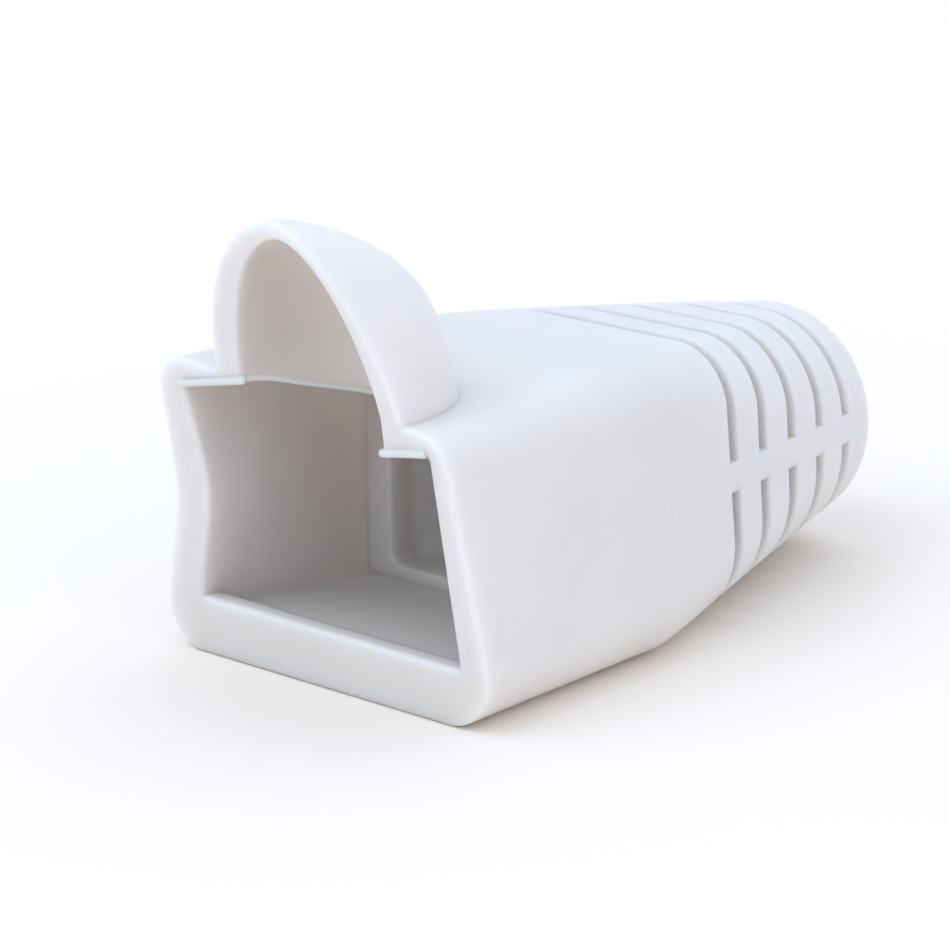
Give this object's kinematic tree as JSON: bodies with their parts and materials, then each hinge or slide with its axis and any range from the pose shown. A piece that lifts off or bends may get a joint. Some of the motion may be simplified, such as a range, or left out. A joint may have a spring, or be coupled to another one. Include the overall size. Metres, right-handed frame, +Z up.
{
  "type": "rj45 strain relief boot",
  "caption": "One-piece soft boot for a modular network plug: square sleeve, arched latch hood and slotted flexible cable tail.",
  "frame": {"origin": "middle of the flat underside of the sleeve", "axes": "+Y from the plug mouth to the cable tail, +Z up through the latch hood, +X to the right seen from the mouth"},
  "size_m": [0.0148, 0.0269, 0.0164],
  "materials": {
    "soft_pvc": "soft moulded PVC, white, matt with a faint sheen"
  },
  "bodies": {
    "root": {"strain_relief_boot": "soft_pvc"}
  },
  "joints": []
}
